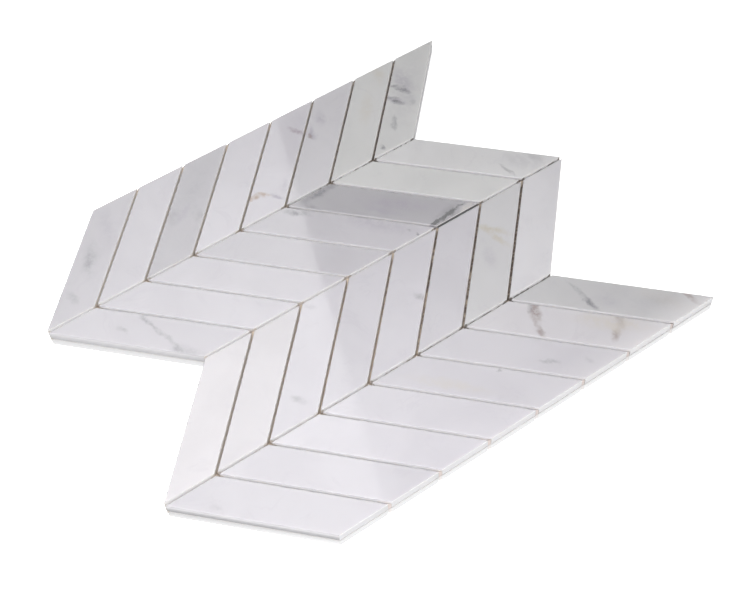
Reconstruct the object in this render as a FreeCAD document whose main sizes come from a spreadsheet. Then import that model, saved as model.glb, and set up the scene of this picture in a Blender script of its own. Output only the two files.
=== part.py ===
"""Chevron mosaic sheet: slanting marble chips in mirrored columns, bonded to a backing net.

X runs across the columns, Y along them and Z up from the underside of the net, in millimetres.
The origin is under the middle of the sheet. Columns are numbered along +X and rows along +Y.
"""
import FreeCAD, Part
import math
import os
import Sketcher

DRIVING_SIZES = [
    ("column_count", 4, "columns of chips side by side"),
    ("row_count", 8, "chips in each column"),
    ("column_width", 71.4, "chip from end to end, straight across the sheet"),
    ("chip_width", 23.7, "chip between its long sides, square to them"),
    ("chip_thickness", 5.5, "chip from its underside to its polished face"),
    ("slant_angle", 43.8, "long sides away from straight across, in degrees"),
    ("joint_width", 1.4, "gap between the chips of a column, square to it"),
    ("column_gap", 1.6, "gap between neighbouring columns"),
    ("tip_cut", 0.6, "clipped off a sharp tip, along both of its edges"),
    ("arris_size", 0.25, "bevel round the polished face"),
    ("net_thickness", 0.5, "backing net under the chips"),
    ("strand_width", 1.2, "one strand of the net"),
    ("mesh_across", 12.2, "strand to strand across the sheet, fitted to the columns"),
    ("mesh_along", 11.7, "strand to strand along the sheet"),
    ("net_inset", 1.0, "edge of the net inside the outer edges of the chips"),
]

# Sizes that follow from the driving ones, as expressions on the sheet
COLUMN_PITCH = "(Sizes.column_width + Sizes.column_gap)"
ROW_PITCH = "((Sizes.chip_width + Sizes.joint_width) / cos(Sizes.slant_angle))"
CHIP_END = "(Sizes.chip_width / cos(Sizes.slant_angle))"
CHIP_RISE = "(Sizes.column_width * tan(Sizes.slant_angle))"

START, END = 1, 2
ORIGIN_POINT = (-1, 1)
PLANE_TOLERANCE = 1e-6


def make_sheet(doc):
    """The spreadsheet of driving dimensions, one aliased cell for each."""
    sheet = doc.addObject("Spreadsheet::Sheet", "Sizes")
    for row, (alias, value, meaning) in enumerate(DRIVING_SIZES, start=1):
        sheet.set(f"A{row}", alias)
        sheet.set(f"B{row}", str(value))
        sheet.set(f"C{row}", meaning)
        sheet.setAlias(f"B{row}", alias)
    doc.recompute()
    return sheet


def add_polygon(sketch, points):
    """Closed run of lines through rough points; returns the index of each line."""
    lines = []
    for number, start in enumerate(points):
        end = points[(number + 1) % len(points)]
        segment = Part.LineSegment(FreeCAD.Vector(*start, 0), FreeCAD.Vector(*end, 0))
        lines.append(sketch.addGeometry(segment, False))
    for number, line in enumerate(lines):
        following = lines[(number + 1) % len(lines)]
        sketch.addConstraint(Sketcher.Constraint("Coincident", line, END, following, START))
    return lines


def bind_distance(sketch, direction, first, second, expression):
    """Distance from the first point to the second along X or Y, driven by the sheet."""
    rough_length = 1.0
    constraint = Sketcher.Constraint(f"Distance{direction}", *first, *second, rough_length)
    index = sketch.addConstraint(constraint)
    sketch.setExpression(f"Constraints[{index}]", expression)


def origin_plane(body):
    return next(item for item in body.Origin.OriginFeatures if item.Role == "XY_Plane")


def chip_sketch(body, rises):
    """Parallelogram centred on the chip, its ends along Y and its long sides slanting."""
    sketch = body.newObject("Sketcher::SketchObject", "ChipOutline")
    sketch.AttachmentSupport = [(origin_plane(body), "")]
    sketch.MapMode = "FlatFace"
    tilt = 20 if rises else -20
    corners = [(-30, -15 - tilt), (30, -15 + tilt), (30, 15 + tilt), (-30, 15 - tilt)]
    lower, right, upper, left = add_polygon(sketch, corners)
    sketch.addConstraint(Sketcher.Constraint("Vertical", left))
    for one, opposite in ((lower, upper), (right, left)):
        symmetric = Sketcher.Constraint("Symmetric", one, START, opposite, START, *ORIGIN_POINT)
        sketch.addConstraint(symmetric)
    lower_left, lower_right = (lower, START), (lower, END)
    bind_distance(sketch, "X", lower_left, lower_right, "Sizes.column_width")
    if rises:
        bind_distance(sketch, "Y", lower_left, lower_right, CHIP_RISE)
    else:
        bind_distance(sketch, "Y", lower_right, lower_left, CHIP_RISE)
    bind_distance(sketch, "Y", lower_left, (left, START), CHIP_END)
    return sketch


def sharp_edges(shape, rises):
    """Names of the upright edges at the two sharp corners of a chip."""
    side = 1 if rises else -1
    uprights = []
    for number, edge in enumerate(shape.Edges, start=1):
        centre = edge.CenterOfMass
        if edge.BoundBox.ZLength > PLANE_TOLERANCE:
            uprights.append((abs(centre.y + side * centre.x), f"Edge{number}"))
    return [name for _, name in sorted(uprights)[-2:]]


def top_edges(shape):
    """Names of the edges round the polished face."""
    top = shape.BoundBox.ZMax
    return [f"Edge{number}" for number, edge in enumerate(shape.Edges, start=1)
            if top - edge.BoundBox.ZMin < PLANE_TOLERANCE]


def make_chips(doc, sheet):
    """All the marble chips: sawn outline, clipped sharp tips, bevelled polished face."""
    chips = []
    for column in range(int(sheet.column_count)):
        for row in range(int(sheet.row_count)):
            rises = column % 2 == 1
            body = doc.addObject("PartDesign::Body", "Chip")
            body.Label = f"marble_chip_c{column + 1}_r{row + 1}"
            body.setExpression("Placement.Base.x", f"({column} + 0.5 - Sizes.column_count / 2) * {COLUMN_PITCH}")
            body.setExpression("Placement.Base.y", f"({row} + 0.5 - Sizes.row_count / 2) * {ROW_PITCH}")
            body.setExpression("Placement.Base.z", "Sizes.net_thickness")
            pad = body.newObject("PartDesign::Pad", "Slab")
            pad.Profile = chip_sketch(body, rises)
            pad.setExpression("Length", "Sizes.chip_thickness")
            chips.append((body, pad, rises))
    doc.recompute()
    clipped = []
    for body, pad, rises in chips:
        tips = body.newObject("PartDesign::Chamfer", "ClippedTips")
        tips.Base = (pad, sharp_edges(pad.Shape, rises))
        tips.setExpression("Size", "Sizes.tip_cut")
        clipped.append((body, tips))
    doc.recompute()
    for body, tips in clipped:
        arris = body.newObject("PartDesign::Chamfer", "Arris")
        arris.Base = (tips, top_edges(tips.Shape))
        arris.setExpression("Size", "Sizes.arris_size")
    doc.recompute()
    return [body for body, _, _ in chips]


def zigzag_line(sheet, margin):
    """Corners of the line that runs across the sheet through one row line, from its left end to its right."""
    slope = math.tan(math.radians(sheet.slant_angle))
    pitch = sheet.column_width + sheet.column_gap
    column_count = int(sheet.column_count)
    corners = []
    for number in range(column_count + 1):
        inward = 0.0
        if number == 0:
            inward = margin
        if number == column_count:
            inward = -margin
        side = 1 if number % 2 == 0 else -1
        across = (number - column_count / 2) * pitch + inward
        along = side * (pitch / 2 - abs(inward)) * slope
        corners.append(FreeCAD.Vector(across, along, 0))
    return corners


def net_half_corners(sheet, end):
    """Outline of half the net, from the sheet's middle to its zigzag end: -1 is the front, 1 the back."""
    side_margin = sheet.column_gap / 2 + sheet.net_inset
    end_margin = sheet.joint_width / 2 + sheet.net_inset
    cosine = math.cos(math.radians(sheet.slant_angle))
    row_pitch = (sheet.chip_width + sheet.joint_width) / cosine
    reach = sheet.row_count / 2 * row_pitch - end_margin / cosine
    corners = [corner + FreeCAD.Vector(0, end * reach, 0) for corner in zigzag_line(sheet, side_margin)]
    middle = [FreeCAD.Vector(corners[-1].x, 0, 0), FreeCAD.Vector(corners[0].x, 0, 0)]
    return corners + middle


def strand_centres(sheet):
    """Centre lines of the strands along the sheet and across it; one lies under every zigzag corner."""
    pitch = sheet.column_width + sheet.column_gap
    sheet_width = pitch * sheet.column_count
    margin = sheet.column_gap / 2 + sheet.net_inset
    cells = round(pitch / sheet.mesh_across) * int(sheet.column_count)
    lengthwise = [(number / cells - 0.5) * sheet_width for number in range(cells + 1)]
    lengthwise[0] += margin + sheet.strand_width / 2
    lengthwise[-1] -= margin + sheet.strand_width / 2
    furthest = max(abs(corner.y) for corner in net_half_corners(sheet, 1))
    rows = math.ceil(furthest / sheet.mesh_along) + 1
    crosswise = [(number + 0.5) * sheet.mesh_along for number in range(-rows, rows)]
    return lengthwise, crosswise


def net_openings(sheet):
    """Low and high corner of each opening between four strands, wherever the strands run."""
    half_strand = sheet.strand_width / 2
    lengthwise, crosswise = strand_centres(sheet)
    openings = []
    for left, right in zip(lengthwise, lengthwise[1:]):
        for front, back in zip(crosswise, crosswise[1:]):
            low = FreeCAD.Vector(left + half_strand, front + half_strand, 0)
            high = FreeCAD.Vector(right - half_strand, back - half_strand, 0)
            openings.append((low, high))
    return openings


def opening_wire(low, high):
    corners = [low, FreeCAD.Vector(high.x, low.y, 0), high, FreeCAD.Vector(low.x, high.y, 0)]
    return Part.makePolygon(corners + corners[:1])


def net_half_shape(sheet, end):
    """Half the net: its outline with whole openings pierced and those on the edge cut away."""
    corners = net_half_corners(sheet, end)
    outline = Part.Face(Part.makePolygon(corners + corners[:1]))
    edge = outline.OuterWire
    whole, on_edge = [], []
    for low, high in net_openings(sheet):
        wire = opening_wire(low, high)
        if wire.distToShape(edge)[0] < PLANE_TOLERANCE:
            on_edge.append(Part.Face(wire))
        elif outline.isInside(low, PLANE_TOLERANCE, True):
            whole.append(wire)
    trimmed = outline.cut(on_edge)
    if len(trimmed.Faces) != 1:
        raise RuntimeError(f"the net has {len(trimmed.Faces)} loose pieces")
    pierced = Part.makeFace([trimmed.Faces[0].OuterWire] + whole, "Part::FaceMakerBullseye")
    return pierced.extrude(FreeCAD.Vector(0, 0, sheet.net_thickness))


def make_net(doc, sheet):
    """The backing net, in a front and a back half that meet across the middle of the sheet."""
    halves = []
    for name, end in (("front", -1), ("back", 1)):
        half = doc.addObject("Part::Feature", "NetHalf")
        half.Label = f"backing_net_{name}"
        half.Shape = net_half_shape(sheet, end)
        half.Placement = FreeCAD.Placement()
        halves.append(half)
    doc.recompute()
    return halves


def check_document(doc, sub_parts):
    """Stop where a feature failed or a sub-part isn't one sound solid."""
    for item in doc.Objects:
        if "Invalid" in item.State or "Error" in item.State:
            raise RuntimeError(f"{item.Label} failed: {item.State}")
    for item in sub_parts:
        if item.Shape.isNull() or not item.Shape.isValid():
            raise RuntimeError(f"{item.Label} has no valid shape")
        if len(item.Shape.Solids) != 1:
            raise RuntimeError(f"{item.Label} has {len(item.Shape.Solids)} solids")


def main():
    doc = FreeCAD.newDocument("ChevronMosaicSheet")
    sheet = make_sheet(doc)
    sub_parts = make_chips(doc, sheet) + make_net(doc, sheet)
    check_document(doc, sub_parts)
    os.makedirs("parts", exist_ok=True)
    for item in sub_parts:
        item.Shape.exportStep(f"parts/{item.Label}.step")


main()
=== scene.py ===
"""Looks of a chevron mosaic sheet: veined, polished marble chips with open joints on a glued backing net.

Lengths in the constants are millimetres in the sheet's frame: X across the columns of chips, Y along
them, Z up. Blender's own units are metres, and MM converts between the two.
"""
import math
import random
from collections import namedtuple

import bmesh
import bpy
from mathutils import Matrix, Vector, noise


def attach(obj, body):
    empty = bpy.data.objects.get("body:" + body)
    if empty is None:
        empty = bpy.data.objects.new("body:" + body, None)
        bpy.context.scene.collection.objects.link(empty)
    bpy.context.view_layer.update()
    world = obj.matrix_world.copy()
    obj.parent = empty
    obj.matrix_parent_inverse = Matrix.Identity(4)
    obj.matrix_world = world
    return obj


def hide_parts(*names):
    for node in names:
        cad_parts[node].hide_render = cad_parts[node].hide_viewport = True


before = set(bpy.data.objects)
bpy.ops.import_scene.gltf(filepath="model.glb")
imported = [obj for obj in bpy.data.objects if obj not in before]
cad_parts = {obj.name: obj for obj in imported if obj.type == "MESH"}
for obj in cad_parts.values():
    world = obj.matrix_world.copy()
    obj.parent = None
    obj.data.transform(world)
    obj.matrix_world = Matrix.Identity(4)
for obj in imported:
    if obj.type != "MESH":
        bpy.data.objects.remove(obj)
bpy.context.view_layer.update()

MM = 0.001

# The sheet
COLUMNS, ROWS = 4, 8
COLUMN_PITCH = 73.0
COLUMN_GAP = 1.6
JOINT_WIDTH = 1.4
CHIP_WIDTH = 23.7
SLANT = math.radians(43.8)
ROW_PITCH = (CHIP_WIDTH + JOINT_WIDTH) / math.cos(SLANT)
FACE_HEIGHT = 6.0
CHIP_UNDERSIDE = 0.5
SHEET_EDGE = COLUMNS / 2 * COLUMN_PITCH - COLUMN_GAP / 2

# The net, with waves per millimetre along its strands
NET_INSET = 1.0
STRAND_WIDTH = 1.2
STRAND_FLAT = 0.72
STRAND_THICKNESS = 0.34
STRAND_BEVEL = 0.10
STRAND_CLEARANCE = 0.02
STRAND_WAVES = 0.3
STRANDS_PER_COLUMN = 6
STRAND_SPACING = 11.7
STRAND_STEP = 4.0

# The adhesive: a low bead in each joint, plugs where joints meet and full ends at the sheet's long edges
BEAD_INSET = 0.2
BEAD_STEP = 1.2
BEAD_SPREAD = 2.0
BEAD_FOOT = 0.30
BEAD_UNDERCUT = 0.08
BEAD_CLEARANCE = 0.05
BEAD_HEIGHT = 0.75
BEAD_LEAST = 0.25
BEAD_WAVES = 0.16
RIPPLE_HEIGHT = 0.25
RIPPLE_WAVES = 0.7
SHOULDER_WIDTH_SHARE = 0.9
SHOULDER_HEIGHT_SHARE = 0.85
PLUG_HEIGHT = 3.8
PLUG_REACH = 2.6
PLUG_INSET = 3.0
END_FILL = 5.2
END_REACH = 7.0
# Keeps the right end of a slanting joint inside its own column
COLUMN_MARGIN = 0.01

# Separate layers of one noise, and the material slots of the net
STRAND_LAYER, RIPPLE_LAYER, BEAD_LAYER = 0, 3, 7
FIBRE_SLOT, GLUE_SLOT = 0, 1

# The camera
VIEW_AIM = Vector((26.1, 2.5, FACE_HEIGHT)) * MM
VIEW_AZIMUTH = math.radians(57.45)
VIEW_ELEVATION = math.radians(52.80)
VIEW_DISTANCE = 797.2 * MM
VIEW_ROLL = math.radians(-2.85)
VIEW_LENS = 62.16
SENSOR_WIDTH = 36.0

# The studio: faint even light, a key lamp by the camera with wide soft light round it, a soft light at
# the back right, and above the left a panel that mostly shows as the gloss on the polished faces
LAMP_PLACE = Vector((586.0, -426.0, 853.0)) * MM
LAMP_SIZE = 450.0 * MM
LAMP_POWER = 9.5
EVEN_LIGHT = 0.10
KEY_RADIANCE = 0.3
KEY_DIRECTION = Vector((0.433, -0.250, 0.866)).normalized()
KEY_REACH = math.radians(45.0)
SIDE_RADIANCE = 0.4
SIDE_DIRECTION = Vector((0.62, 0.50, 0.60)).normalized()
SIDE_REACH = math.radians(38.0)
PANEL_RADIANCE = 4.9
PANEL_DIFFUSE_SHARE = 0.15
PANEL_DIRECTION = Vector((-0.46, 0.176, 0.87)).normalized()
PANEL_CORE = math.radians(4.0)
PANEL_REACH = math.radians(40.0)
PANEL_FADE = 3.2
# A straight edge across the panel, and the share of its light beyond the edge, on the left and on the right
PANEL_EDGE = Vector((0.355, 0.929, -0.105)).normalized()
PANEL_EDGE_WIDTH = 0.005
PANEL_BEYOND_LEFT = 0.50
PANEL_BEYOND_RIGHT = 0.76
PANEL_LEFT_TO_RIGHT = (-0.56, -0.45)

# The table
FLOOR_SIZE = 8000.0 * MM
TABLE_COLOUR = (0.80, 0.80, 0.80, 1.0)
TABLE_ROUGHNESS = 0.4
TABLE_LIT_SHARE = 0.06
TABLE_GLOW = 0.985
MIRROR_SHARE = 0.48
MIRROR_ROUGHNESS = 0.03
CONTACT_REACH = 1.2 * MM
CONTACT_GLOW = 0.5
CONTACT_SAMPLES = 8
FULL_WHITE = (1.0, 1.0, 1.0, 1.0)

# Patterns: scales are patches per millimetre, ranges are the values of the noise where a pattern comes in
PATTERN_SPREAD = 500
NOISE_MEAN = 0.5
NOISE_RANGE = (0.3, 0.7)
CLOUD_SCALE = 0.022
CLOUD_RANGE = (0.35, 0.68)
WISP_WIDTH = 0.03
WISP_STRENGTH = 0.07
WISP_PATCH_SCALE = 0.05
WISP_PATCH_RANGE = (0.45, 0.65)
VEIN_CORE = 0.1
VEIN_DEPTH = 1000.0
VEIN_WANDER = 7.0
VEIN_WAVE_SCALE = 0.14
VEIN_PATCH_SCALE = 0.22
VEIN_PATCH_RANGE = (0.36, 0.58)
VEIN_PATCH_LEAST = 0.45
GRAIN_SCALE = 1.1
GRAIN_RANGE = (0.35, 0.75)
GRAIN_STRENGTH = 0.07
POLISH_SCALE = 0.16
FIBRE_BLOTCH_SCALE = 0.22
FIBRE_BLOTCH_RANGE = (0.35, 0.65)
THREAD_SCALE = 4.5
THREAD_RANGE = (0.4, 0.7)
THREAD_STRENGTH = 0.5
GLUE_BLOTCH_SCALE = 0.11
CRUMB_SCALE = 0.5
CRUMB_RANGE = (0.48, 0.58)

# Ways that a face looks: the part of its normal upwards, along the sheet, across it, or out of an open side
ARRIS_UPRIGHT = (0.75, 0.95)
SIDE_UPRIGHT = (0.25, 0.60)
FRONT_ALONG = (-0.45, -0.25)
REAR_ALONG = (0.25, 0.45)
END_ACROSS = (0.85, 0.95)
OPEN_OUTWARD = (0.80, 0.95)

# The chips' edges and sides, and how far the adhesive stains them
ARRIS_STRENGTH = 0.8
SIDE_TONE_GAIN = 0.2
STAIN_SCALE = 0.25
STAIN_RAGGED = 1.2
STAIN_FADE = (0.4, 2.0)
STAIN_FRONT = 0.45
STAIN_BACK_GAIN = 0.4
CORNER_CLIMB = 4.0
CORNER_ACROSS = 4.0
CORNER_ALONG = 3.5
# On the ends the darker, browner colour of the lower sides reaches higher, more towards the back and the left
END_CLIMB = 1.1
END_CLIMB_BACK_GAIN = 1.3
END_CLIMB_LEFT_GAIN = 0.2
# Paling of the faces near the right edge: where it comes in, and how far back in the sheet it begins
PALE_RANGE = (126.0, 148.0)
PALE_BEGINS = 0.4

# The stone's surface
FACE_ROUGHNESS = (0.02, 0.05)
ARRIS_ROUGHNESS = 0.45
FACE_RELIEF = 0.006
SAWN_RELIEF = 0.9
RELIEF_DEPTH = 0.12 * MM
RELIEF_STRENGTH = 0.4
STONE_IOR = 1.6
SCATTER_RADIUS = (1.0, 0.95, 0.9)
SCATTER_SCALE = 4.0 * MM
SIDE_TRANSLUCENCE = 0.65

# The surface of the strands and of the adhesive, and where the adhesive changes its colour
FIBRE_ROUGHNESS = (0.45, 0.75)
FIBRE_DEPTH = 0.1 * MM
FIBRE_STRENGTH = 0.6
GLUE_ROUGHNESS = (0.35, 0.6)
GLUE_DEPTH = 0.3 * MM
GLUE_STRENGTH = 0.7
BROWN_RANGE = (-10.0, 75.0)
BROWN_WANDER = 50.0
CRUMBS_FRONT, CRUMBS_BACK = 0.85, 0.45
RAISED_RANGE = (1.5, 4.0)
RAISED_LIMIT = (130.0, 138.0)
RAISED_STRENGTH = 0.55
PINK_RANGE = (136.0, 142.0)
PINK_STRENGTH = 0.9

# Colours, linear
WHITE = (0.625, 0.603, 0.648)
CLOUD = (0.588, 0.566, 0.612)
WARM_WHITE = (0.605, 0.577, 0.555)
WARM_CLOUD = (0.575, 0.545, 0.520)
PLAIN_WHITE = (0.614, 0.611, 0.608)
PLAIN_CLOUD = (0.578, 0.575, 0.573)
PALE_END = (0.80, 0.78, 0.79)
# Sawn stone of the joint walls, made whiter than the polished face as painted light
SAWN_WHITE = (0.92, 0.905, 0.92)
# Painted shade on the front-facing joint walls towards the back rows
SAWN_BACK_SHADE = (0.79, 0.775, 0.79)
# Pale ground arrises, partly a painted highlight
SAWN_CREAM_HIGHLIGHT = (0.86, 0.84, 0.82)
SAWN_GOLD = (0.90, 0.86, 0.82)
# Painted shade on the front-facing arrises
SAWN_FRONT_ARRIS_SHADE = (0.52, 0.50, 0.54)
# Sides on the sheet's outline, low and high up; the front and back sides carry painted shade, darkest at the
# front of the last column
SAWN_DULL = (0.75, 0.74, 0.76)
SAWN_END = (0.82, 0.81, 0.83)
SAWN_SHADE_GREY = (0.55, 0.54, 0.56)
SAWN_SHADE = (0.36, 0.35, 0.37)
GREY = (0.17, 0.165, 0.19)
LILAC = (0.30, 0.26, 0.35)
GOLD = (0.38, 0.26, 0.18)
OCHRE = (0.46, 0.40, 0.30)
UMBER = (0.22, 0.15, 0.14)
PLUM = (0.30, 0.22, 0.28)
SAND = (0.56, 0.51, 0.44)
MIST = (0.36, 0.35, 0.39)
SOOT = (0.045, 0.045, 0.05)
GLUE_DARK = (0.155, 0.125, 0.105)
GLUE_PALE = (0.62, 0.52, 0.43)
GLUE_PINK = (0.80, 0.70, 0.67)
FIBRE_TAN = (0.60, 0.52, 0.42)
FIBRE_BROWN = (0.40, 0.32, 0.23)
FIBRE_PALE = (0.70, 0.64, 0.55)

Vein = namedtuple("Vein", "start end width strength tint")


class Shading:
    """Node tree of a material or world, with short calls that add a node and fill its inputs."""

    def __init__(self, owner):
        owner.use_nodes = True
        self.tree = owner.node_tree
        self.tree.nodes.clear()

    def add(self, kind, inputs=None, **settings):
        node = self.tree.nodes.new(kind)
        for name, value in settings.items():
            setattr(node, name, value)
        for key, value in (inputs or {}).items():
            self.feed(node.inputs[key], value)
        return node

    def feed(self, socket, value):
        if isinstance(value, bpy.types.NodeSocket):
            self.tree.links.new(value, socket)
        else:
            socket.default_value = value

    def math(self, operation, first, second=0.0, clamp=False):
        node = self.add("ShaderNodeMath", {0: first, 1: second}, operation=operation, use_clamp=clamp)
        return node.outputs[0]

    def vector(self, operation, first, second=(0.0, 0.0, 0.0)):
        node = self.add("ShaderNodeVectorMath", {0: first, 1: second}, operation=operation)
        return node.outputs["Value" if operation in ("DOT_PRODUCT", "LENGTH") else "Vector"]

    def scaled(self, vector, factor):
        node = self.add("ShaderNodeVectorMath", {0: vector, "Scale": factor}, operation="SCALE")
        return node.outputs["Vector"]

    def parts(self, vector):
        """Outputs X, Y and Z of a vector."""
        return self.add("ShaderNodeSeparateXYZ", {0: vector}).outputs

    def millimetres(self):
        """Place on the object, in millimetres."""
        return self.scaled(self.add("ShaderNodeTexCoord").outputs["Object"], 1 / MM)

    def remap(self, value, low, high, to_low=0.0, to_high=1.0):
        node = self.add(
            "ShaderNodeMapRange",
            {"Value": value, "From Min": low, "From Max": high, "To Min": to_low, "To Max": to_high},
            interpolation_type="SMOOTHSTEP")
        return node.outputs["Result"]

    def noise(self, vector, scale, detail=3.0, roughness=0.5, distortion=0.0, output="Fac"):
        inputs = {"Vector": vector, "Scale": scale, "Detail": detail}
        inputs.update({"Roughness": roughness, "Distortion": distortion})
        return self.add("ShaderNodeTexNoise", inputs).outputs[output]

    def bump(self, height, strength, distance):
        inputs = {"Height": height, "Strength": strength, "Distance": distance}
        return self.add("ShaderNodeBump", inputs).outputs["Normal"]

    def blend(self, factor, first, second):
        """Colour that goes from the first to the second as the factor goes from 0 to 1."""
        node = self.add("ShaderNodeMix", data_type="RGBA")
        for name, value in (("Factor_Float", factor), ("A_Color", first), ("B_Color", second)):
            socket = next(s for s in node.inputs if s.identifier == name)
            self.feed(socket, value if isinstance(value, (bpy.types.NodeSocket, float)) else (*value, 1.0))
        return next(s for s in node.outputs if s.identifier == "Result_Color")

    def mix(self, factor, first, second):
        """Shader that goes from the first to the second as the factor goes from 0 to 1."""
        return self.add("ShaderNodeMixShader", {0: factor, 1: first, 2: second}).outputs[0]

    def principled(self, **inputs):
        """Surface shader; the names of its inputs have underscores in place of spaces."""
        named = {name.replace("_", " "): value for name, value in inputs.items()}
        return self.add("ShaderNodeBsdfPrincipled", named).outputs["BSDF"]

    def output(self, shader, kind="ShaderNodeOutputMaterial"):
        self.add(kind, {"Surface": shader})


def new_material(name):
    """A new material and its node tree."""
    material = bpy.data.materials.new(name)
    return material, Shading(material)


def new_object(name, mesh, materials):
    """Object in the scene with a built mesh and its materials in order. The mesh is used up."""
    data = bpy.data.meshes.new(name)
    mesh.to_mesh(data)
    mesh.free()
    for material in materials:
        data.materials.append(material)
    thing = bpy.data.objects.new(name, data)
    bpy.context.scene.collection.objects.link(thing)
    return thing


def mixed(first, second, share):
    """Constant colour between two others."""
    return tuple(Vector(first).lerp(Vector(second), share))


# Veins and stains seen on single chips: both ends of the streak, its width, strength and tint
VEINS = {
    "c1_r8": [
        Vein((-138, 134), (-104, 124), 16, 0.40, LILAC),
        Vein((-126, 119), (-118, 127), 5, 0.80, GREY),
        Vein((-121, 121), (-110, 128), 5, 0.95, GREY),
        Vein((-117, 112), (-104, 118), 8, 0.75, LILAC),
        Vein((-116, 112), (-111, 117), 4.5, 0.95, GREY),
        Vein((-111, 112), (-104, 117), 4.5, 0.95, GREY),
        Vein((-112, 113), (-105, 117), 4, 0.85, SOOT),
        Vein((-99, 106), (-87, 98), 5, 0.65, GREY),
        Vein((-103, 125), (-101, 121), 6, 0.30, GREY),
        Vein((-81, 82), (-76, 81), 4, 0.80, GREY),
        Vein((-140, 152), (-86, 96), 30, 0.28, MIST),
    ],
    "c1_r7": [
        Vein((-146, 124), (-130, 116), 12, 0.45, SAND),
        Vein((-128, 104), (-104, 84), 14, 0.35, SAND),
    ],
    "c1_r6": [
        Vein((-130, 42), (-119, 47), 6, 0.70, PLUM),
        Vein((-124, 53), (-112, 48), 7, 0.60, LILAC),
        Vein((-118, 49), (-114, 47), 4, 0.70, UMBER),
        Vein((-132, 66), (-122, 60), 10, 0.35, LILAC),
    ],
    "c1_r5": [
        Vein((-91, -18), (-92, -8), 6, 0.95, GOLD),
        Vein((-92, -9), (-87, -3), 5, 0.80, GOLD),
        Vein((-88, -2), (-79, 3), 5, 0.65, LILAC),
        Vein((-92, 12), (-84, 5), 9, 0.22, LILAC),
        Vein((-132, 40), (-120, 46), 6, 0.75, PLUM),
    ],
    "c1_r3": [
        Vein((-146, -18), (-98, -66), 26, 0.30, MIST),
        Vein((-124, -34), (-118, -52), 9, 0.35, MIST),
        Vein((-112, -50), (-102, -66), 9, 0.30, LILAC),
        Vein((-113, -60), (-105, -67), 12, 0.25, GREY),
        Vein((-105, -49), (-96, -51), 12, 0.22, GREY),
    ],
    "c1_r1": [
        Vein((-124, -116), (-96, -132), 14, 0.55, MIST),
        Vein((-112, -118), (-104, -132), 12, 0.20, GREY),
        Vein((-116, -122), (-98, -131), 5, 0.30, GREY),
        Vein((-142, -96), (-112, -110), 16, 0.22, LILAC),
        Vein((-92, -148), (-84, -147), 8, 0.30, GREY),
    ],
    "c2_r8": [
        Vein((-22, 136), (-3, 138), 4, 0.45, GREY),
        Vein((-20, 158), (-6, 160), 12, 0.30, GREY),
        Vein((-24, 140), (-2, 160), 22, 0.30, MIST),
    ],
    "c2_r6": [
        Vein((-9.0, 93), (-5.0, 70), 10, 0.40, GREY),
        Vein((-2.5, 101), (-1.5, 90), 6, 0.80, WARM_WHITE),
        Vein((-6.2, 97), (-5.0, 88), 2.8, 0.90, SOOT),
        Vein((-5.4, 92), (-3.4, 73), 6.0, 1.0, SOOT),
        Vein((-5.0, 91), (-3.4, 73), 4.4, 2.2, SOOT),
        Vein((-3.8, 78), (-2.6, 65), 4.0, 2.0, SOOT),
        Vein((-70.5, 40), (-69, 10), 9, 0.90, GREY),
        Vein((-66, 12), (-56, 14), 9, 0.40, GREY),
        Vein((-50, 40), (-12, 80), 16, 0.35, LILAC),
        Vein((-44, 40), (-18, 60), 8, 0.30, LILAC),
    ],
    "c2_r5": [
        Vein((-72, -4), (-58, 8), 9, 0.55, GREY),
        Vein((-66, 2), (-60, 4), 4, 0.50, GREY),
        Vein((-3.4, 55.6), (-1.8, 55.4), 3.2, 0.95, GREY),
        Vein((-8.6, 53.4), (-7.4, 53.8), 3.2, 0.60, GREY),
        Vein((-46, 24), (-6, 56), 20, 0.30, LILAC),
    ],
    "c2_r4": [
        Vein((-68, -10), (-60, -3), 6, 0.30, GREY),
        Vein((-71, -20), (-68, -18), 4, 0.35, GREY),
    ],
    "c2_r1": [
        Vein((-52, -121), (-12, -112), 4.5, 0.45, GREY),
        Vein((-51, -121), (-38, -117), 5.5, 0.50, GREY),
        Vein((-22, -115), (-7, -112), 5, 0.40, GREY),
        Vein((-16, -116), (0, -104), 14, 0.30, GREY),
        Vein((-50, -136), (-44, -133), 6, 0.35, GREY),
    ],
    "c3_r7": [
        Vein((12, 88), (32, 104), 8, 0.60, OCHRE),
        Vein((18, 92), (42, 97), 7, 0.50, OCHRE),
        Vein((34, 84), (46, 78), 12, 0.25, LILAC),
    ],
    "c3_r6": [Vein((6, 52), (18, 46), 10, 0.35, SAND)],
    "c3_r5": [Vein((37, 26), (44, 30), 7, 0.45, GREY)],
    "c3_r4": [Vein((24, 14), (32, 10), 8, 0.40, GREY)],
    "c3_r3": [
        Vein((54, -77), (61, -73), 7, 0.35, GREY),
        Vein((3, -34), (8, -30), 6, 0.20, GREY),
    ],
    "c4_r8": [
        Vein((80, 108), (112, 109), 5, 0.45, GREY),
        Vein((98, 108), (112, 109), 5, 0.95, GREY),
        Vein((104, 114), (116, 122), 12, 0.25, LILAC),
        Vein((118, 140), (142, 154), 18, 0.30, SAND),
        Vein((120, 134), (138, 154), 16, 0.30, MIST),
        Vein((130, 159), (147, 163), 5, 0.95, UMBER),
    ],
    "c4_r7": [
        Vein((83, 80), (96, 74), 11, 0.95, UMBER),
        Vein((82, 78), (88, 74), 5, 0.60, GREY),
        Vein((92, 73), (111, 69), 6, 0.75, UMBER),
        Vein((121, 117), (129, 111), 9, 0.60, UMBER),
        Vein((129, 108), (133, 103), 7, 0.85, UMBER),
        Vein((126, 112), (131, 104), 9, 0.35, SAND),
        Vein((106, 92), (142, 128), 18, 0.55, SAND),
    ],
    "c4_r6": [
        Vein((120, 56), (127, 66), 5, 0.45, GREY),
        Vein((134, 79), (140, 82), 5, 0.25, GREY),
    ],
    "c4_r5": [
        Vein((110.5, 32.5), (111.5, 33.5), 3, 0.60, GREY),
        Vein((87, 20), (91, 22), 6, 0.30, GREY),
        Vein((78, -18), (125, 24), 10, 0.35, SAND),
    ],
    "c4_r1": [Vein((88, -151), (95, -148), 6, 0.20, GREY)],
}

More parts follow.
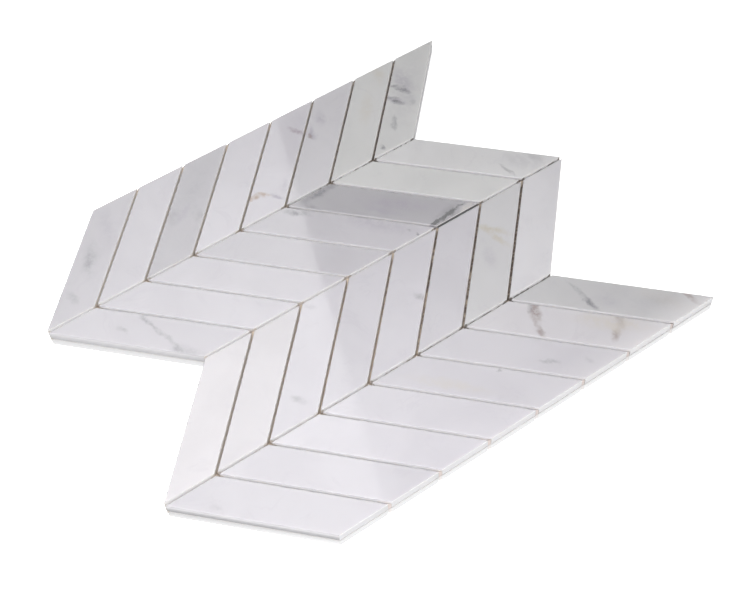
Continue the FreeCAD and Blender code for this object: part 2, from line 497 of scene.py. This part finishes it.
# Share of the plain stone's brightness, for chips that stand out from their neighbours
TONES = {
    "c1_r1": 0.85, "c1_r2": 0.94, "c1_r3": 0.75, "c1_r4": 0.98, "c1_r7": 1.03, "c1_r8": 1.03,
    "c2_r1": 0.93, "c2_r2": 0.95, "c2_r3": 0.94, "c2_r4": 0.86, "c2_r5": 0.87, "c2_r6": 0.64, "c2_r7": 1.04,
    "c2_r8": 1.08, "c3_r1": 1.08, "c3_r2": 1.03, "c3_r4": 0.97, "c3_r5": 0.97, "c3_r6": 0.90, "c3_r7": 0.93,
    "c3_r8": 1.07, "c4_r1": 0.92, "c4_r2": 0.97, "c4_r3": 1.02, "c4_r5": 0.95, "c4_r6": 0.92, "c4_r7": 0.96,
    "c4_r8": 0.82,
}
# Share of plain white in place of the lilac tinge of the others
PLAINNESS = {"c1_r6": 0.3, "c1_r7": 1.0, "c1_r8": 1.0, "c2_r7": 1.0, "c2_r8": 0.8, "c3_r7": 0.6, "c3_r8": 0.4,
             "c4_r8": 0.6}
# Share of warm white in the plain stone
WARMTH = {"c3_r1": 0.30, "c3_r2": 0.25, "c4_r7": 0.20}
# Chips with a dark vein that comes out at their ends
DARK_ENDS = ("c2_r6",)


def column_lean(column):
    """1 where the chips of a column rise to the right, -1 where they fall. Columns count from 1."""
    return -1 if column % 2 else 1


def column_middle(column):
    """X of a column's middle line."""
    return (column - 0.5 - COLUMNS / 2) * COLUMN_PITCH


def zigzag(across):
    """Y of the zigzag row line through the sheet's middle, at an X."""
    column = min(max(math.floor(across / COLUMN_PITCH + COLUMNS / 2) + 1, 1), COLUMNS)
    return column_lean(column) * (across - column_middle(column)) * math.tan(SLANT)


class Chip:
    """One marble chip: its place in the sheet, and the inputs that the layers of its material share.

    Its lean is its column's, and backward goes from 0 in the front row to 1 in the back row.
    """

    def __init__(self, column, row):
        self.column = column
        self.row = row
        self.name = f"c{column}_r{row}"
        self.lean = column_lean(column)
        self.backward = (row - 1) / (ROWS - 1)
        self.tone = TONES.get(self.name, 1.0)
        self.material, self.shade = new_material(f"marble_{self.name}")
        shade = self.shade
        dice = random.Random(self.name)
        offset = tuple(dice.uniform(-PATTERN_SPREAD, PATTERN_SPREAD) for _ in range(3))
        self.place = shade.millimetres()
        self.own = shade.vector("ADD", self.place, offset)
        self.normal = shade.add("ShaderNodeNewGeometry").outputs["Normal"]
        looks = shade.parts(self.normal)
        self.upright = looks["Z"]
        self.arris = shade.remap(looks["Z"], *ARRIS_UPRIGHT, 1.0, 0.0)
        self.sawn = shade.remap(looks["Z"], *SIDE_UPRIGHT, 1.0, 0.0)
        self.frontal = shade.remap(looks["Y"], *FRONT_ALONG, 1.0, 0.0)
        self.rearward = shade.remap(looks["Y"], *REAR_ALONG)
        self.endwise = shade.remap(shade.math("ABSOLUTE", looks["X"]), *END_ACROSS)


def plain_stone(chip):
    """Soft clouds and faint lilac wisps in the chip's own white."""
    shade = chip.shade
    plainness = PLAINNESS.get(chip.name, 0.0)
    warmth = WARMTH.get(chip.name, 0.0)
    plain, clouded = (
        tuple(Vector(mixed(mixed(tinged, neutral, plainness), warm, warmth)) * chip.tone)
        for tinged, neutral, warm in ((WHITE, PLAIN_WHITE, WARM_WHITE), (CLOUD, PLAIN_CLOUD, WARM_CLOUD)))
    clouds = shade.noise(chip.own, CLOUD_SCALE, detail=3.0, roughness=0.5, distortion=0.4)
    colour = shade.blend(shade.remap(clouds, *CLOUD_RANGE), plain, clouded)
    wisps = shade.noise(chip.own, CLOUD_SCALE, detail=7.0, roughness=0.58, distortion=1.5)
    off_line = shade.math("ABSOLUTE", shade.math("SUBTRACT", wisps, NOISE_MEAN))
    wisp_line = shade.remap(off_line, 0.0, WISP_WIDTH, WISP_STRENGTH, 0.0)
    wisp_share = shade.remap(shade.noise(chip.own, WISP_PATCH_SCALE, detail=2.0), *WISP_PATCH_RANGE)
    return shade.blend(shade.math("MULTIPLY", wisp_line, wisp_share), colour, LILAC)


def vein_ink(shade, place, vein):
    """Soft, elongated mark between the vein's ends: its strength in the middle and 0 outside."""
    start, end = Vector(vein.start), Vector(vein.end)
    middle = (start + end) / 2
    run = end - start
    half_length = run.length / 2 + vein.width / 2
    mapping = shade.add("ShaderNodeMapping", {
        "Vector": place,
        "Location": (*middle, 0.0),
        "Rotation": (0.0, 0.0, math.atan2(run.y, run.x)),
        "Scale": (half_length, vein.width / 2, VEIN_DEPTH),
    }, vector_type="TEXTURE")
    away = shade.vector("LENGTH", mapping.outputs["Vector"])
    return shade.remap(away, VEIN_CORE, 1.0, vein.strength, 0.0)


def add_veins(chip, colour):
    """The colour with the chip's ragged veins in it, and how freely light enters the stone there."""
    shade = chip.shade
    wave = shade.noise(chip.own, VEIN_WAVE_SCALE, detail=5.0, roughness=0.62, output="Color")
    drift = shade.vector("SUBTRACT", wave, (NOISE_MEAN, NOISE_MEAN, NOISE_MEAN))
    warped = shade.vector("ADD", chip.place, shade.scaled(drift, VEIN_WANDER))
    patches = shade.noise(chip.own, VEIN_PATCH_SCALE, detail=4.0, roughness=0.65)
    patchy = shade.remap(patches, *VEIN_PATCH_RANGE, VEIN_PATCH_LEAST, 1.0)
    translucence = 1.0
    for vein in VEINS.get(chip.name, []):
        ink = shade.math("MULTIPLY", vein_ink(shade, warped, vein), patchy, clamp=True)
        colour = shade.blend(ink, colour, vein.tint)
        if vein.tint is SOOT:
            translucence = shade.math("SUBTRACT", translucence, ink, clamp=True)
    return colour, translucence


def pale_right_end(chip, colour):
    """The colour, in the last column paler towards the sheet's right edge, and more so in the rear rows."""
    if chip.column < COLUMNS:
        return colour
    shade = chip.shade
    most = max(chip.backward - PALE_BEGINS, 0.0)
    paled = shade.remap(shade.parts(chip.place)["X"], *PALE_RANGE, 0.0, most)
    return shade.blend(paled, colour, PALE_END)


def ground_and_lit_arrises(chip, colour):
    """The colour with edges made pale by grinding, partly a painted highlight, and painted shade on the
    front-facing edges.
    """
    shade = chip.shade
    behind = SAWN_CREAM_HIGHLIGHT if chip.lean > 0 else SAWN_GOLD
    ground_lit_and_shaded = shade.blend(chip.rearward, shade.blend(chip.frontal, SAWN_CREAM_HIGHLIGHT, SAWN_FRONT_ARRIS_SHADE), behind)
    return shade.blend(shade.math("MULTIPLY", chip.arris, ARRIS_STRENGTH), colour, ground_lit_and_shaded)


def saw_sides(chip, colour, translucence):
    """The colour with pale sawn sides, partly painted light, and painted shade on front walls further back,
    except where a dark vein comes out.
    """
    shade = chip.shade
    tone = min(chip.tone + SIDE_TONE_GAIN, 1.0)
    lit_sawn, back_shaded = (tuple(Vector(stone) * tone) for stone in (SAWN_WHITE, SAWN_BACK_SHADE))
    behind = lit_sawn if chip.lean > 0 else SAWN_GOLD
    # Painted shade on the front-facing walls, more towards the back rows
    back_shade_share = shade.math("MULTIPLY", chip.frontal, chip.backward)
    sides = shade.blend(chip.rearward, shade.blend(back_shade_share, lit_sawn, back_shaded), behind)
    return shade.blend(shade.math("MULTIPLY", chip.sawn, translucence), colour, sides)


def corner_share(chip):
    """1 at the chip's four corners and 0 a few millimetres away from them."""
    shade = chip.shade
    middle = (column_middle(chip.column), (chip.row - 0.5 - ROWS / 2) * ROW_PITCH, 0.0)
    own = shade.parts(shade.vector("SUBTRACT", chip.place, middle))
    rise = shade.math("MULTIPLY", own["X"], chip.lean * math.tan(SLANT))
    across = shade.math("ABSOLUTE", own["X"])
    along = shade.math("ABSOLUTE", shade.math("SUBTRACT", own["Y"], rise))
    end = (COLUMN_PITCH - COLUMN_GAP) / 2
    side = CHIP_WIDTH / math.cos(SLANT) / 2
    near_end = shade.remap(across, end - CORNER_ACROSS, end)
    near_side = shade.remap(along, side - CORNER_ALONG, side)
    return shade.math("MULTIPLY", near_end, near_side)


def end_climb(chip):
    """How much higher the darker, browner colour of the lower sides reaches on the chip's ends than on its
    long sides.
    """
    if chip.name in DARK_ENDS:
        return FACE_HEIGHT
    leftward = COLUMNS - 1 - chip.column
    return END_CLIMB + END_CLIMB_BACK_GAIN * chip.backward + END_CLIMB_LEFT_GAIN * leftward


def stain_share(chip, height):
    """Share of stain on the sawn sides, up to a ragged line that is higher at the corners and on the ends."""
    shade = chip.shade
    ragged = shade.noise(chip.own, STAIN_SCALE, detail=4.0)
    above = shade.math("ADD", height, shade.remap(ragged, *NOISE_RANGE, -STAIN_RAGGED, STAIN_RAGGED))
    above = shade.math("SUBTRACT", above, shade.math("MULTIPLY", corner_share(chip), CORNER_CLIMB))
    above = shade.math("SUBTRACT", above, shade.math("MULTIPLY", chip.endwise, end_climb(chip)))
    most = STAIN_FRONT + STAIN_BACK_GAIN * chip.backward
    return shade.math("MULTIPLY", shade.remap(above, *STAIN_FADE, most, 0.0), chip.sawn)


def open_sides(chip):
    """Outward direction of each side of the chip on the sheet's outline, and its colours low and high up."""
    frontward = Vector((chip.lean * math.sin(SLANT), -math.cos(SLANT), 0.0))
    sides = []
    if chip.column == 1:
        sides.append(((-1.0, 0.0, 0.0), SAWN_END, SAWN_DULL))
    if chip.column == COLUMNS:
        # Painted light: the right end is whiter towards the back rows
        low, high = (mixed(stone, SAWN_WHITE, chip.backward) for stone in (SAWN_END, SAWN_DULL))
        sides.append(((1.0, 0.0, 0.0), low, high))
    if chip.row == 1:
        # Painted shade on the front sides, darkest in the last column; they are darker towards the bottom
        low = SAWN_SHADE if chip.column == COLUMNS else SAWN_SHADE_GREY
        sides.append((tuple(frontward), low, SAWN_DULL))
    if chip.row == ROWS:
        # Painted shade on the back sides, darker towards the bottom
        sides.append((tuple(-frontward), SAWN_SHADE_GREY, SAWN_DULL))
    return sides


def finish_sides(chip, colour):
    """The colour with clean sides on the sheet's outline, and stained sides in the joints."""
    shade = chip.shade
    height = shade.parts(chip.place)["Z"]
    stain = stain_share(chip, height)
    upper = shade.remap(height, CHIP_UNDERSIDE, FACE_HEIGHT)
    for outward, low, high in open_sides(chip):
        outside = shade.remap(shade.vector("DOT_PRODUCT", chip.normal, outward), *OPEN_OUTWARD)
        colour = shade.blend(outside, colour, shade.blend(upper, low, high))
        stain = shade.math("MULTIPLY", stain, shade.math("SUBTRACT", 1.0, outside))
    residue = SOOT if chip.name in DARK_ENDS else mixed(GLUE_PALE, GLUE_DARK, chip.backward)
    return shade.blend(stain, colour, residue)


def marble(chip):
    """Polished marble of one chip, with its own clouds, wisps and veins, and sawn, glue-stained sides."""
    shade = chip.shade
    colour, translucence = add_veins(chip, plain_stone(chip))
    colour = pale_right_end(chip, colour)
    grain = shade.noise(chip.own, GRAIN_SCALE, detail=4.0, roughness=0.7)
    colour = shade.blend(shade.remap(grain, *GRAIN_RANGE, 0.0, GRAIN_STRENGTH), colour, CLOUD)
    colour = ground_and_lit_arrises(chip, colour)
    colour = saw_sides(chip, colour, translucence)
    colour = finish_sides(chip, colour)
    polish = shade.remap(shade.noise(chip.own, POLISH_SCALE), *NOISE_RANGE, *FACE_ROUGHNESS)
    relief = shade.math("ADD", shade.math("MULTIPLY", chip.sawn, SAWN_RELIEF), FACE_RELIEF)
    side_loss = shade.remap(chip.upright, *SIDE_UPRIGHT, SIDE_TRANSLUCENCE, 1.0)
    shade.output(shade.principled(
        Base_Color=colour,
        Roughness=shade.math("ADD", polish, shade.math("MULTIPLY", chip.arris, ARRIS_ROUGHNESS)),
        IOR=STONE_IOR,
        Normal=shade.bump(shade.math("MULTIPLY", grain, relief), RELIEF_STRENGTH, RELIEF_DEPTH),
        Subsurface_Weight=shade.math("MULTIPLY", translucence, side_loss),
        Subsurface_Radius=SCATTER_RADIUS,
        Subsurface_Scale=SCATTER_SCALE))
    return chip.material


def dress_chips():
    """Every chip gets a marble of its own."""
    for column in range(1, COLUMNS + 1):
        for row in range(1, ROWS + 1):
            chip = Chip(column, row)
            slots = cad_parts[f"marble_chip_{chip.name}"].data.materials
            slots.clear()
            slots.append(marble(chip))


def fibre_material():
    """Glass-fibre strands soaked with tan adhesive, uneven in colour, with a fine fibrous grain."""
    material, shade = new_material("glued_fibre")
    place = shade.millimetres()
    blotch = shade.noise(place, FIBRE_BLOTCH_SCALE, detail=4.0, roughness=0.6)
    threads = shade.noise(place, THREAD_SCALE, detail=2.0)
    colour = shade.blend(shade.remap(blotch, *FIBRE_BLOTCH_RANGE), FIBRE_TAN, FIBRE_BROWN)
    colour = shade.blend(shade.remap(threads, *THREAD_RANGE, 0.0, THREAD_STRENGTH), colour, FIBRE_PALE)
    shade.output(shade.principled(
        Base_Color=colour,
        Roughness=shade.remap(blotch, *NOISE_RANGE, *FIBRE_ROUGHNESS),
        Normal=shade.bump(threads, FIBRE_STRENGTH, FIBRE_DEPTH)))
    return material


def glue_material():
    """Dried adhesive in the joints: pale tan at the front, dark brown at the back, with paler crumbs.

    It is also paler where it is squeezed up high, and pinkish at the sheet's right edge.
    """
    material, shade = new_material("joint_adhesive")
    place = shade.millimetres()
    spot = shade.parts(place)
    blotch = shade.noise(place, GLUE_BLOTCH_SCALE, detail=5.0, roughness=0.65)
    crumbs = shade.noise(place, CRUMB_SCALE, detail=3.0, roughness=0.6)
    wander = shade.remap(blotch, *NOISE_RANGE, -BROWN_WANDER, BROWN_WANDER)
    browned = shade.remap(shade.math("ADD", spot["Y"], wander), *BROWN_RANGE)
    colour = shade.blend(browned, GLUE_PALE, GLUE_DARK)
    crumb_share = shade.remap(browned, 0.0, 1.0, CRUMBS_FRONT, CRUMBS_BACK)
    crumbled = shade.math("MULTIPLY", shade.remap(crumbs, *CRUMB_RANGE), crumb_share)
    colour = shade.blend(crumbled, colour, GLUE_PALE)
    inside = shade.remap(shade.math("ABSOLUTE", spot["X"]), *RAISED_LIMIT, 1.0, 0.0)
    raised = shade.remap(spot["Z"], *RAISED_RANGE, 0.0, RAISED_STRENGTH)
    colour = shade.blend(shade.math("MULTIPLY", raised, inside), colour, GLUE_PALE)
    colour = shade.blend(shade.remap(spot["X"], *PINK_RANGE, 0.0, PINK_STRENGTH), colour, GLUE_PINK)
    shade.output(shade.principled(
        Base_Color=colour,
        Roughness=shade.remap(crumbs, *NOISE_RANGE, *GLUE_ROUGHNESS),
        Normal=shade.bump(crumbs, GLUE_STRENGTH, GLUE_DEPTH)))
    return material


def add_ribbon(mesh, path, sideways, profile, material_index, capped=False):
    """Strip through the path's points; the profile gives each point's section as (sideways, height) pairs."""
    rows = []
    for point in path:
        section = [(*(point + sideways * shift), height) for shift, height in profile(point)]
        rows.append([mesh.verts.new(Vector(corner) * MM) for corner in section])
    for near, far in zip(rows, rows[1:]):
        for corner in range(len(near) - 1):
            face = mesh.faces.new((near[corner], near[corner + 1], far[corner + 1], far[corner]))
            face.material_index = material_index
            face.smooth = True
    if capped:
        for section in (rows[0], rows[-1]):
            mesh.faces.new(section).material_index = material_index


def straight_path(start, end, step):
    """Evenly spaced points from start to end, about a step apart."""
    count = max(2, round((end - start).length / step))
    return [start.lerp(end, number / count) for number in range(count + 1)]


def uneven(point, waves, layer):
    """Smooth noise between about -1 and 1 at a point of the sheet."""
    return noise.noise(Vector((*point, layer)) * waves)


def net_reach():
    """From the zigzag row line through the sheet's middle to the net's zigzag ends, along Y."""
    return ROWS / 2 * ROW_PITCH - (JOINT_WIDTH / 2 + NET_INSET) / math.cos(SLANT)


def strand_runs():
    """Ends of every strand of the net, inside the zigzag outline of the sheet, and its sideways direction."""
    reach = net_reach()
    half_width = SHEET_EDGE - NET_INSET
    limit = half_width - STRAND_WIDTH / 2
    cells = COLUMNS * STRANDS_PER_COLUMN
    runs = []
    for number in range(cells + 1):
        across = (number / cells - 0.5) * COLUMNS * COLUMN_PITCH
        across = min(max(across, -limit), limit)
        ends = [Vector((across, zigzag(across) + side * reach)) for side in (-1, 1)]
        runs.append((*ends, Vector((1.0, 0.0))))
    crest = COLUMN_PITCH / 2 * math.tan(SLANT)
    count = math.ceil((reach + crest) / STRAND_SPACING) + 1
    for number in range(-count, count):
        along = (number + 0.5) * STRAND_SPACING
        places = range(-int(half_width), int(half_width) + 1)
        inside = [across for across in places if abs(along - zigzag(across)) < reach]
        for first in [across for across in inside if across - 1 not in inside]:
            last = first
            while last + 1 in inside:
                last += 1
            if last - first > STRAND_WIDTH:
                runs.append((Vector((first, along)), Vector((last, along)), Vector((0.0, 1.0))))
    return runs


def strand_profile(point):
    """Flattened thread bundle, which wanders a little in height under the chips."""
    room = CHIP_UNDERSIDE - STRAND_THICKNESS - STRAND_CLEARANCE
    low = room * (0.5 + 0.5 * uneven(point, STRAND_WAVES, STRAND_LAYER))
    top = low + STRAND_THICKNESS
    edge = low + STRAND_BEVEL
    half = STRAND_WIDTH / 2
    flat = STRAND_FLAT / 2
    return [(-half, edge), (-flat, top), (flat, top), (half, edge), (flat, low), (-flat, low), (-half, edge)]


def joint_runs():
    """Middle line of every joint, slanting between rows or straight between columns, and its way to the side.

    The way to the side of a slanting joint runs along the sheet, as long as the joint is wide that way.
    """
    runs = []
    furthest = SHEET_EDGE - BEAD_INSET
    for column in range(1, COLUMNS + 1):
        middle = column_middle(column)
        left = max(middle - COLUMN_PITCH / 2, -furthest)
        right = min(middle + COLUMN_PITCH / 2 - COLUMN_MARGIN, furthest)
        for joint in range(1, ROWS):
            row_line = (joint - ROWS / 2) * ROW_PITCH
            ends = [Vector((across, row_line + zigzag(across))) for across in (left, right)]
            runs.append((*ends, Vector((0.0, 1 / math.cos(SLANT)))))
    for line in range(1, COLUMNS):
        across = (line - COLUMNS / 2) * COLUMN_PITCH
        crest = zigzag(across)
        ends = [Vector((across, crest + side * net_reach())) for side in (-1, 1)]
        runs.append((*ends, Vector((1.0, 0.0))))
    return runs


def joint_meetings():
    """Points where joints of neighbouring columns meet, and where joints come near the sheet's long edges."""
    points = []
    outermost = COLUMNS / 2 * COLUMN_PITCH - PLUG_INSET
    for line in range(COLUMNS + 1):
        across = (line - COLUMNS / 2) * COLUMN_PITCH
        across = max(min(across, outermost), -outermost)
        for joint in range(1, ROWS):
            points.append(Vector((across, (joint - ROWS / 2) * ROW_PITCH + zigzag(across))))
    return points


MEETINGS = joint_meetings()


def glue_profile(point):
    """Section of the adhesive in a joint: thin below the chips, with an uneven crown between them.

    The crown is highest in the plugs where joints meet and at the sheet's long edges.
    """
    crown = BEAD_HEIGHT + BEAD_HEIGHT * uneven(point, BEAD_WAVES, BEAD_LAYER)
    crown = max(crown + RIPPLE_HEIGHT * uneven(point, RIPPLE_WAVES, RIPPLE_LAYER), BEAD_LEAST)
    away = min((point - meeting).length for meeting in MEETINGS)
    to_end = SHEET_EDGE - BEAD_INSET - abs(point.x)
    crown = crown + PLUG_HEIGHT * math.exp(-(away / PLUG_REACH) ** 2) * min(to_end, 1.0)
    crown = min(max(crown, END_FILL * (1 - to_end / END_REACH)), END_FILL)
    edge = CHIP_UNDERSIDE - BEAD_UNDERCUT
    flank = JOINT_WIDTH / 2 - BEAD_CLEARANCE
    shoulder = max(edge, crown * SHOULDER_HEIGHT_SHARE)
    right = [(flank * SHOULDER_WIDTH_SHARE, shoulder), (flank, edge), (BEAD_SPREAD, BEAD_FOOT)]
    left = [(-shift, height) for shift, height in reversed(right)]
    return [*left, (0.0, max(crown, edge)), *right]


def make_net():
    """Backing net with the adhesive that holds it, squeezed up into the joints."""
    mesh = bmesh.new()
    for start, end, sideways in strand_runs():
        add_ribbon(mesh, straight_path(start, end, STRAND_STEP), sideways, strand_profile, FIBRE_SLOT)
    for start, end, sideways in joint_runs():
        add_ribbon(mesh, straight_path(start, end, BEAD_STEP), sideways, glue_profile, GLUE_SLOT, capped=True)
    bmesh.ops.recalc_face_normals(mesh, faces=mesh.faces)
    net = new_object("glued_backing_net", mesh, [fibre_material(), glue_material()])
    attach(net, "root")
    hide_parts("backing_net_front", "backing_net_back")


def table_material():
    """Glossy white table: plain white to the eye, with the sheet's faint reflection and shadow."""
    material, shade = new_material("white_table")
    table = shade.principled(Base_Color=TABLE_COLOUR, Roughness=TABLE_ROUGHNESS)
    contact = shade.add("ShaderNodeAmbientOcclusion", {"Distance": CONTACT_REACH}, samples=CONTACT_SAMPLES)
    glow = shade.remap(contact.outputs["AO"], 0.0, 1.0, CONTACT_GLOW, TABLE_GLOW)
    white = shade.add("ShaderNodeEmission", {"Color": FULL_WHITE, "Strength": glow})
    mirror = shade.add("ShaderNodeBsdfGlossy", {"Color": FULL_WHITE, "Roughness": MIRROR_ROUGHNESS})
    glossy = shade.mix(MIRROR_SHARE, white.outputs[0], mirror.outputs[0])
    shown = shade.mix(TABLE_LIT_SHARE, glossy, table)
    path = shade.add("ShaderNodeLightPath").outputs
    seen = shade.math("MAXIMUM", path["Is Camera Ray"], path["Is Glossy Ray"])
    seen = shade.math("MAXIMUM", seen, path["Is Transmission Ray"])
    shade.output(shade.mix(seen, table, shown))
    return material


def make_floor():
    """Wide table top that the sheet lies on."""
    mesh = bmesh.new()
    bmesh.ops.create_grid(mesh, x_segments=1, y_segments=1, size=FLOOR_SIZE / 2)
    floor = new_object("floor", mesh, [table_material()])


def panel_light(shade, direction):
    """Radiance of the panel in a direction: it fades outwards and is dimmer beyond its straight edge."""
    facing = shade.vector("DOT_PRODUCT", direction, tuple(PANEL_DIRECTION))
    spread = shade.add("ShaderNodeMapRange", {
        "Value": facing,
        "From Min": math.cos(PANEL_REACH),
        "From Max": math.cos(PANEL_CORE),
    }).outputs["Result"]
    panel = shade.math("MULTIPLY", shade.math("POWER", spread, PANEL_FADE), PANEL_RADIANCE)
    rightward = shade.vector("DOT_PRODUCT", direction, (1.0, 0.0, 0.0))
    past_edge = shade.remap(rightward, *PANEL_LEFT_TO_RIGHT, PANEL_BEYOND_LEFT, PANEL_BEYOND_RIGHT)
    beyond = shade.vector("DOT_PRODUCT", direction, tuple(PANEL_EDGE))
    return shade.math("MULTIPLY", panel, shade.remap(beyond, 0.0, PANEL_EDGE_WIDTH, 1.0, past_edge))


def make_light():
    """Studio round the table: even light, two wide soft lights, and the panel that the polish mirrors."""
    world = bpy.data.worlds.new("studio")
    bpy.context.scene.world = world
    shade = Shading(world)
    direction = shade.add("ShaderNodeTexCoord").outputs["Generated"]
    path = shade.add("ShaderNodeLightPath").outputs
    mirrored = shade.math("MAXIMUM", path["Is Glossy Ray"], path["Is Transmission Ray"])
    panel_share = shade.math("MAXIMUM", mirrored, PANEL_DIFFUSE_SHARE)
    panel = shade.math("MULTIPLY", panel_light(shade, direction), panel_share)
    soft = EVEN_LIGHT
    for aim, reach, radiance in (
            (KEY_DIRECTION, KEY_REACH, KEY_RADIANCE), (SIDE_DIRECTION, SIDE_REACH, SIDE_RADIANCE)):
        near = shade.vector("DOT_PRODUCT", direction, tuple(aim))
        soft = shade.math("ADD", shade.remap(near, math.cos(reach), 1.0, 0.0, radiance), soft)
    strength = shade.math("ADD", panel, shade.math("MAXIMUM", soft, mirrored))
    studio, white = (
        shade.add("ShaderNodeBackground", {"Color": FULL_WHITE, "Strength": power}).outputs[0]
        for power in (strength, 1.0))
    shade.output(shade.mix(path["Is Camera Ray"], studio, white), "ShaderNodeOutputWorld")


def make_lamp():
    """Key lamp beside the camera, which lights the front of the sheet more than its back."""
    light = bpy.data.lights.new("key_lamp", "AREA")
    light.shape = "DISK"
    light.size = LAMP_SIZE
    light.energy = LAMP_POWER
    lamp = bpy.data.objects.new("key_lamp", light)
    turn = LAMP_PLACE.to_track_quat("Z", "Y").to_matrix().to_4x4()
    lamp.matrix_world = Matrix.Translation(LAMP_PLACE) @ turn
    bpy.context.scene.collection.objects.link(lamp)


def make_camera():
    """Camera above the sheet's front right, rolled a little."""
    back = Vector((math.sin(VIEW_AZIMUTH) * math.cos(VIEW_ELEVATION),
                   -math.cos(VIEW_AZIMUTH) * math.cos(VIEW_ELEVATION),
                   math.sin(VIEW_ELEVATION)))
    level = Vector((math.cos(VIEW_AZIMUTH), math.sin(VIEW_AZIMUTH), 0.0))
    right = level * math.cos(VIEW_ROLL) + back.cross(level) * math.sin(VIEW_ROLL)
    pose = Matrix((right, back.cross(right), back)).transposed().to_4x4()
    pose.translation = VIEW_AIM + back * VIEW_DISTANCE
    lens = bpy.data.cameras.new("camera")
    lens.lens = VIEW_LENS
    lens.sensor_width = SENSOR_WIDTH
    lens.sensor_fit = "HORIZONTAL"
    camera = bpy.data.objects.new("camera", lens)
    camera.matrix_world = pose
    bpy.context.scene.collection.objects.link(camera)
    bpy.context.scene.camera = camera


bpy.context.scene.view_settings.view_transform = "Standard"
make_camera()
make_light()
make_lamp()
make_floor()
make_net()
dress_chips()
